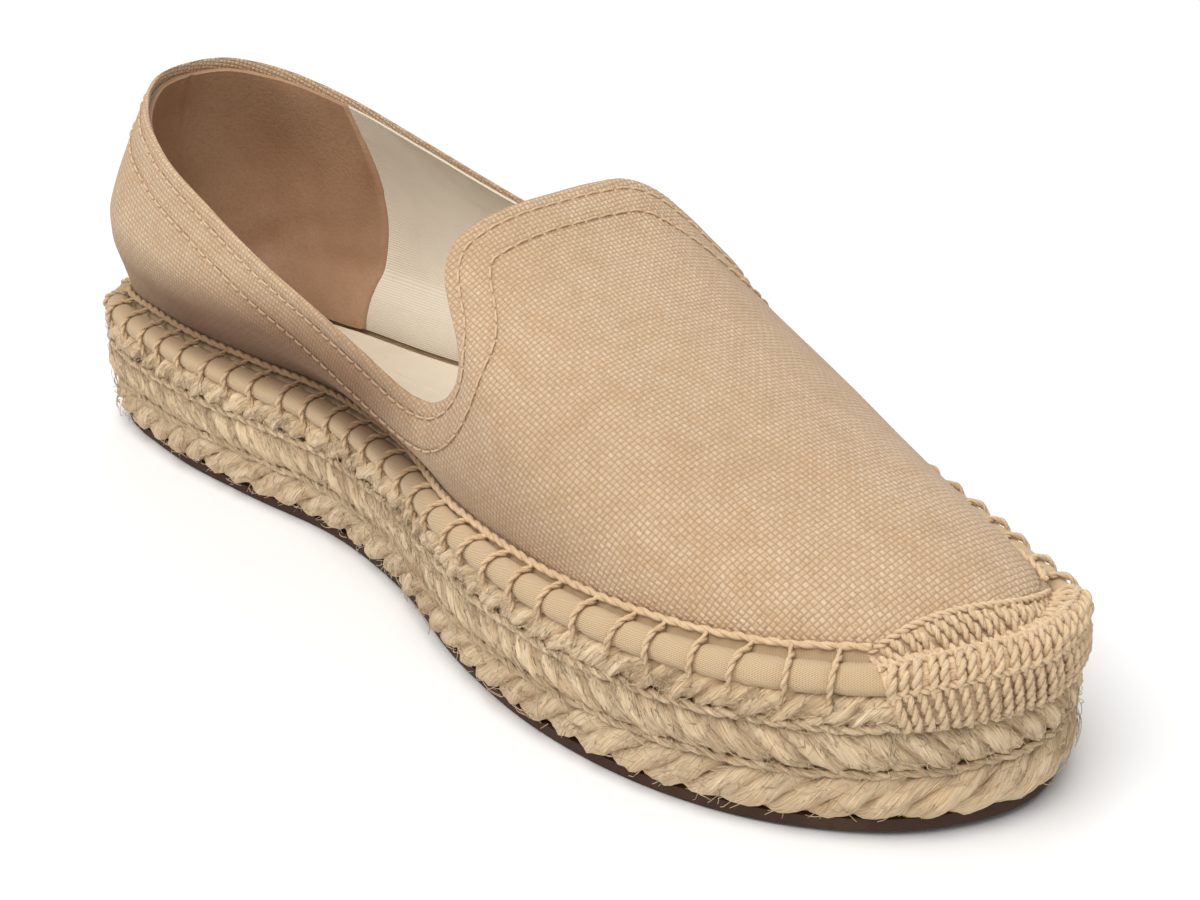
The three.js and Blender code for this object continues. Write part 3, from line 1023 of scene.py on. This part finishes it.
# Each stitch leaves the crease, goes over the piping and ends low on the top jute row.
def blanketStitches():
    count = len(stitchAt)
    f = np.linspace(0, 1, stitch["rings"])
    over = np.radians(np.interp(f, [0.16, 0.86], [112, -38]))
    reach = pipe["radius"] + stitch["over"]
    lean = rng.normal(1.0, 0.35, (count, 1)) * stitch["lean"]
    bow = 0.25 * mm * np.sin(f * math.pi)[None] * rng.normal(0, 1, (count, 1))
    s = stitchAt[:, None] + lean * (0.5 - f)[None] + bow
    paths = solePoint(s, pipe["inset"] - reach * np.cos(over), pipe["height"] + reach * np.sin(over))
    start = wallPoint(s[:, 0] % edgeLength, crease["height"] - 0.1 * mm, 1.0 * mm)
    end = solePoint(s[:, -1], stitch["endInset"], stitch["endHeight"])
    toStart = softStep(f, 0.2, 0.0)[None, :, None]
    toEnd = softStep(f, 0.78, 1.0)[None, :, None]
    paths = paths * (1 - toStart) + start[:, None] * toStart
    paths = paths * (1 - toEnd) + end[:, None] * toEnd
    side = soleOut(s) * 0.3 + np.cross([0.0, 0.0, 1.0], soleOut(s))
    return twoPly(paths, side, stitch["ply"], stitch["offset"], stitch["pitch"], stitch["sides"])


piping()
pipingFlange()
finishPiece(tubePiece("creaseThread", creaseThread()), threadLook, (), 0)
finishPiece(tubePiece("blanketStitches", blanketStitches()), threadLook, (), 0)
print("piping sewn,", len(stitchAt), "stitches")

# ---- canvas upper

upper = {
    "ribs": 440, "levels": 84, "crowd": 1.4, "wall": 1.0 * mm, "innerLevels": 26,
    "hemWidth": 9.6 * mm, "hemRise": 0.22 * mm, "rollRadius": 0.8 * mm,
    "rows": (3.0 * mm, 9.2 * mm), "rowDepth": 0.22 * mm, "rowWidth": 0.7 * mm,
    "rollDepth": 0.55 * mm, "crownRise": 0.28 * mm, "slack": 0.16 * mm,
}


# Unfolds the outer face flat, cut at the back of the heel, as (level, rib) map places in metres.
def unfoldSkin():
    levels = 24
    rib, level = np.meshgrid(np.arange(ribCount + 1.0), np.linspace(0, topLevel, levels + 1))
    places = skinAt(rib, level)
    places[:, -1] += 0.02 * mm
    piece = layGrid("pattern", places)
    editWhole(bpy.ops.uv.unwrap, method="ANGLE_BASED", margin=0.0)
    mesh = piece.data
    values = np.empty(len(mesh.loops) * 2)
    mesh.uv_layers[0].data.foreach_get("uv", values)
    flat = np.zeros((len(mesh.vertices), 2))
    flat[cornersOf(mesh)] = values.reshape(-1, 2)
    flat = flat.reshape(levels + 1, ribCount + 1, 2)
    bpy.data.objects.remove(piece)

    def areas(p):
        across, up = np.diff(p, axis=1)[:-1], np.diff(p, axis=0)[:, :-1]
        if p.shape[-1] == 2:
            return across[..., 0] * up[..., 1] - across[..., 1] * up[..., 0]
        return np.linalg.norm(np.cross(across, up), axis=-1)

    flatArea = areas(flat).sum()
    if flatArea < 0:
        flat[..., 0] *= -1
    flat *= math.sqrt(areas(places).sum() / abs(flatArea))
    ridge = flat[4, ribCount // 2] - flat[levels - 2, ribCount // 2]
    turn = math.atan2(ridge[1], ridge[0])
    c, s = math.cos(-turn), math.sin(-turn)
    return flat @ np.array([[c, s], [-s, c]])


pattern = unfoldSkin()


def patternAt(rib, level):
    rib, level = np.broadcast_arrays(np.asarray(rib, float), np.asarray(level, float))
    rows = np.clip(level / topLevel * (pattern.shape[0] - 1), 0, pattern.shape[0] - 1.0001)
    columns = np.clip(rib, 0, pattern.shape[1] - 1.0001)
    i, k = rows.astype(int), columns.astype(int)
    f, g = (rows - i)[..., None], (columns - k)[..., None]
    low = pattern[i, k] * (1 - g) + pattern[i, k + 1] * g
    high = pattern[i + 1, k] * (1 - g) + pattern[i + 1, k + 1] * g
    return low * (1 - f) + high * f


def canvasUpper():
    t = np.linspace(0, 1, upper["levels"] + 1)
    levels = topLevel * (1 - (1 - t) ** upper["crowd"])
    ribs = np.linspace(0, ribCount, upper["ribs"] + 1)
    rib, level = np.meshgrid(ribs, levels)
    base = skinAt(rib, level)
    far = hemDistance(base)
    hemEnd = softStep(far, upper["hemWidth"] - 0.9 * mm, upper["hemWidth"] + 0.3 * mm)
    out = upper["hemRise"] * (1 - hemEnd)
    for place in upper["rows"]:
        out -= upper["rowDepth"] * np.exp(-(((far - place) / upper["rowWidth"]) ** 2))
    out -= upper["rollDepth"] * np.clip(1 - far / upper["rollRadius"], 0, 1) ** 2
    # slack ripples, none at the edges
    u, v = base[..., 0] / mm, base[..., 2] / mm
    ripple = np.sin(u / 7.3 + 0.13 * v + 1.2) * np.sin(v / 8.1 - u / 23 + 0.4) + 0.6 * np.sin(u / 17 + v / 13)
    out += upper["slack"] * ripple * softStep(far, 6 * mm, 20 * mm)
    outer = base + skinNormal(rib, level) * out[..., None]
    innerLevels = np.linspace(topLevel, 0, upper["innerLevels"] + 1)
    innerRib, innerLevel = np.meshgrid(ribs, innerLevels)
    inner = skin(innerRib, innerLevel, -upper["wall"])
    inner[0] = skin(ribs, topLevel, -upper["wall"] + 0.15 * mm)
    inner[-1, :, 2] = outer[0, :, 2]
    crown = (outer[-1] + inner[0]) / 2
    crown[..., 2] += upper["crownRise"]
    places = np.concatenate([outer, crown[None], inner, outer[:1]])
    crownMap = patternAt(ribs, topLevel)[None] + (0, 0.5 * mm)
    footMap = patternAt(ribs, 0)[None]
    maps = np.concatenate([patternAt(rib, level), crownMap, patternAt(innerRib, innerLevel), footMap])
    piece = layGrid("canvasUpper", places, maps)
    faceOut(piece)
    finishPiece(piece, canvas, ["upper"], 60)


canvasUpper()


# ---- hem stitching along the topline

hem = {
    "length": 2.7 * mm, "gap": 0.75 * mm, "radius": 0.24 * mm, "sides": 6, "rings": 7,
    "out": 0.06 * mm, "arch": 0.26 * mm, "steps": 880, "levels": 90, "lowest": 0.35,
}


# Ribs and levels of the line that keeps a distance from the topline.
def hemLine(distance):
    ribs = np.linspace(0, ribCount, hem["steps"], endpoint=False)
    levels = np.linspace(topLevel, topLevel * hem["lowest"], hem["levels"])
    rib, level = np.meshgrid(ribs, levels, indexing="ij")
    far = hemDistance(skinAt(rib, level))
    first = np.argmax(far >= distance, axis=1)
    last = np.maximum(first - 1, 0)
    rows = np.arange(len(ribs))
    f = (distance - far[rows, last]) / np.maximum(far[rows, first] - far[rows, last], 1e-9)
    return ribs, levels[last] + (levels[1] - levels[0]) * np.clip(f, 0, 1)


def hemStitches(distance):
    ribs, levels = hemLine(distance)
    points = skinAt(ribs, levels)
    ribs, levels, points = np.r_[ribs, ribCount], np.r_[levels, levels[0]], np.r_[points, points[:1]]
    run = np.r_[0, np.cumsum(np.linalg.norm(np.diff(points, axis=0), axis=1))]
    count = int(run[-1] / (hem["length"] + hem["gap"]))
    middle = (np.arange(count) + 0.5) * run[-1] / count
    f = np.linspace(-0.5, 0.5, hem["rings"])
    s = middle[:, None] + f[None] * hem["length"]
    rib, level = np.interp(s, run, ribs), np.interp(s, run, levels)
    paths = skin(rib, level, hem["out"] + hem["arch"] * (1 - (2 * np.abs(f)) ** 4))
    return tubes(paths, skinNormal(rib, level), hem["radius"], hem["sides"])


piece = tubePiece("hemStitches", [hemStitches(distance) for distance in upper["rows"]])
finishPiece(piece, hemLook, (), 0)
print("canvas lasted and hemmed")

# ---- linings

lining = {
    "ribs": 264, "levels": 56, "below": 0.6, "depth": 1.5 * mm, "backDepth": 1.02 * mm,
    "facing": 8.6 * mm, "facingRise": 0.1 * mm, "wallDrop": 3.4 * mm, "wellDrop": 13 * mm,
    "wellStops": (-1, -0.7, -0.3, 0), "wellInsets": (11.9 * mm, 11.6 * mm, 9.7 * mm, 7.4 * mm),
    "wellHeights": (19.9 * mm, 23.5 * mm, 28.3 * mm, 31.9 * mm),
}


# Inside of the shoe: down the wall, and below level 0 down the well to the insole.
def insideAt(rib, level, depth):
    inset = np.interp(level, lining["wellStops"], lining["wellInsets"]) + depth
    height = np.interp(level, lining["wellStops"], lining["wellHeights"])
    well = solePoint(runOf(rib % ribCount), inset, height)
    wall = skin(rib, np.clip(level, 0, None), -depth)
    blend = softStep(level, -0.25, 0.6)[..., None]
    return well * (1 - blend) + wall * blend


def creamLining():
    levels = np.linspace(-1, topLevel - lining["below"], lining["levels"])
    ribs = np.linspace(0, ribCount, lining["ribs"] + 1)
    level, rib = np.meshgrid(levels, ribs, indexing="ij")
    far = hemDistance(skinAt(rib, np.clip(level, 0, None)))
    facingEnd = softStep(far, lining["facing"] - 0.5 * mm, lining["facing"] + 0.3 * mm)
    near = insideAt(rib, level, lining["depth"] + lining["facingRise"] * (1 - facingEnd))
    behind = insideAt(rib, level, lining["backDepth"])
    maps = np.stack([runOf(rib), level * np.where(level > 0, lining["wallDrop"], lining["wellDrop"])], -1)
    piece = layGrid("creamLining", bothFaces(near, behind), bothFaces(maps, maps))
    faceOut(piece)
    finishPiece(piece, creamCloth, (), 60)


# Brown heel lining: its two front edges bow forward a little between the collar and the insole.
heelLook = {
    "low": 47 * mm, "high": 41 * mm, "bow": 3 * mm, "from": 20 * mm, "tall": 52 * mm,
    "ribs": 150, "levels": 52, "search": 881, "searchDepth": 1.9 * mm,
    "depth": 2.5 * mm, "seam": 0.4 * mm, "wrinkle": 0.35 * mm, "edgeDepth": 1.6 * mm, "backDepth": 1.45 * mm,
}


def heelLining():
    levels = np.linspace(-0.97, topLevel - 0.5, heelLook["levels"])
    dense = np.linspace(0, ribCount, heelLook["search"])
    half = len(dense) // 2
    starts, ends = [], []
    for level in levels:
        line = insideAt(dense, level, heelLook["searchDepth"])
        f = np.clip((line[:, 2] - heelLook["from"]) / heelLook["tall"], 0, 1)
        bound = heelLook["low"] * (1 - f) + heelLook["high"] * f + heelLook["bow"] * np.sin(f * math.pi)
        inside = line[:, 0] - sole["heelX"] < bound
        ends.append(dense[np.argmax(~inside[:half])])
        starts.append(dense[half + np.argmax(inside[half:])] - ribCount)
    starts, ends = np.array(starts), np.array(ends)
    for _ in range(3):
        for values in (starts, ends):
            values[1:-1] = (values[:-2] + 2 * values[1:-1] + values[2:]) / 4
    f = np.linspace(0, 1, heelLook["ribs"])
    rib = starts[:, None] * (1 - f) + ends[:, None] * f
    level = np.broadcast_to(levels[:, None], rib.shape)
    wrinkle = np.sin(rib * 1.9 + level * 1.3) * np.sin(rib * 0.7 - level * 0.8) * softStep(level, 5.0, 1.0)
    seam = np.exp(-((rib / 0.22) ** 2))
    depth = heelLook["depth"] - heelLook["seam"] * seam + heelLook["wrinkle"] * wrinkle
    depth[:, [0, -1]] = heelLook["edgeDepth"]
    front, back = insideAt(rib, level, depth), insideAt(rib, level, heelLook["backDepth"])
    piece = layGrid("heelLining", bothFaces(front, back))
    closeHoles(piece)
    faceOut(piece)
    finishPiece(piece, leather, (), 50)


creamLining()
heelLining()

# ---- insole

insole = {"inset": 14.6 * mm, "low": 12.8 * mm, "top": 20.5 * mm, "spacing": 2.0 * mm}
piece = plate("insoleCloth", [
    (insole["inset"], insole["low"]),
    (insole["inset"], insole["top"] - 2.2 * mm),
    (insole["inset"] + 0.5 * mm, insole["top"] - 0.9 * mm),
    (insole["inset"] + 1.4 * mm, insole["top"] - 0.25 * mm),
    (insole["inset"] + 2.8 * mm, insole["top"]),
], insole["spacing"])
editWhole(bpy.ops.uv.cube_project, cube_size=1.0, correct_aspect=False, scale_to_bounds=False)
finishPiece(piece, insoleCloth, ["insole"], 50)
print("linings and insole in")

# ---- corded toe guard

guard = {
    "ply": 0.6 * mm, "offset": 0.42 * mm, "pitch": 4.6 * mm, "spacing": 2.5 * mm,
    "bands": [
        {"top": 0.03, "bottom": 0.36, "lean": 2.4 * mm},
        {"top": 0.34, "bottom": 0.66, "lean": -2.2 * mm},
        {"top": 0.64, "bottom": 1.04, "lean": 0.7 * mm},
    ],
    "rings": 13, "sides": 8, "taper": 5.5 * mm,
    "bindings": [(-0.005, 0.6 * mm), (0.35, 0.75 * mm), (0.65, 0.75 * mm)], "bindingRings": 160,
    "bindingPly": 0.42 * mm, "bindingOffset": 0.36 * mm, "bindingPitch": 3.2 * mm,
    "piping": (75, 55, 35, 15, -5), "feet": (26.3 * mm, 24.6 * mm, 22.9 * mm),
    "backing": (0.35 * mm, -0.2 * mm), "tall": 14 * mm,
}


# Profile down the toe at s: over the upper's foot, round the piping and down the top jute row.
def guardPoint(s, t, out):
    s, t, out = np.broadcast_arrays(s, t, out)
    f = np.clip((s - guardEnds[0]) / (guardEnds[1] - guardEnds[0]), 0, 1)
    s = s + guard["taper"] * np.clip(t, 0, 1) * (1 - f) ** 2
    top = topLevel * (0.03 + 0.12 * np.sin(math.pi * f ** 0.75))
    rib = ribOf(s)
    stops = [skin(rib, top * h, out) for h in (1.0, 0.66, 0.33)]
    reach = pipe["radius"] + out
    for a in np.radians(guard["piping"]):
        p = solePoint(s, pipe["inset"] - reach * np.cos(a), pipe["height"])
        p[..., 2] += reach * np.sin(a)
        stops.append(p)
    stops += [solePoint(s, 0.2 * mm - out, height) for height in guard["feet"]]
    stops = np.array(stops)
    step = np.linalg.norm(np.diff(stops, axis=0), axis=-1)
    run = np.concatenate([np.zeros((1, *s.shape)), np.cumsum(step, axis=0)])
    want = t * run[-1]
    k = np.clip((run <= want).sum(0) - 1, 0, len(stops) - 2)
    low, high = (np.take_along_axis(run, k[None] + e, 0)[0] for e in (0, 1))
    a, b = (np.take_along_axis(stops, (k + e)[None, ..., None], 0)[0] for e in (0, 1))
    g = ((want - low) / (high - low))[..., None]
    return a * (1 - g) + b * g


def guardCords():
    span = guardEnds[1] - guardEnds[0]
    count = int(span / guard["spacing"])
    f = np.linspace(0, 1, guard["rings"])
    bundles = []
    for band in guard["bands"]:
        middle = guardEnds[0] + (np.arange(count) + 0.5) * span / count
        middle = middle + rng.normal(0, 0.2 * mm, count)
        lean = band["lean"] * rng.normal(1, 0.12, (count, 1))
        s = np.clip(middle[:, None] + lean * (f - 0.5)[None], *guardEnds)
        t = band["top"] + (band["bottom"] - band["top"]) * f[None] + rng.normal(0, 0.012, (count, 1))
        out = 0.25 * mm + 0.9 * mm * np.sin(f * math.pi)[None] ** 0.6 + rng.normal(0, 0.08 * mm, (count, 1))
        paths = guardPoint(s, t, out)
        side = guardPoint(s, t, out + 1 * mm) - paths
        bundles += twoPly(paths, side, guard["ply"], guard["offset"], guard["pitch"], guard["sides"])
    s = np.linspace(*guardEnds, guard["bindingRings"])[None]
    binding = [guard[key] for key in ("bindingPly", "bindingOffset", "bindingPitch", "sides")]
    for t, out in guard["bindings"]:
        paths = guardPoint(s, t, out)
        bundles += twoPly(paths, guardPoint(s, 0.2, out) - paths, *binding)
    return tubePiece("toeGuard", bundles)


def guardBacking():
    run, t = np.meshgrid(np.linspace(*guardEnds, 60), np.linspace(0.0, 1.0, 24))
    uv = np.stack([run, t * guard["tall"]], -1)
    faces = bothFaces(*(guardPoint(run, t, out) for out in guard["backing"]))
    backing = layGrid("guardBacking", faces, bothFaces(uv, uv))
    closeHoles(backing)
    faceOut(backing)
    return backing


piece = joinPieces("toeGuard", [guardCords(), guardBacking()])
finishPiece(piece, cordLook, ["toe_guard"], 60)
print("toe guard wound")
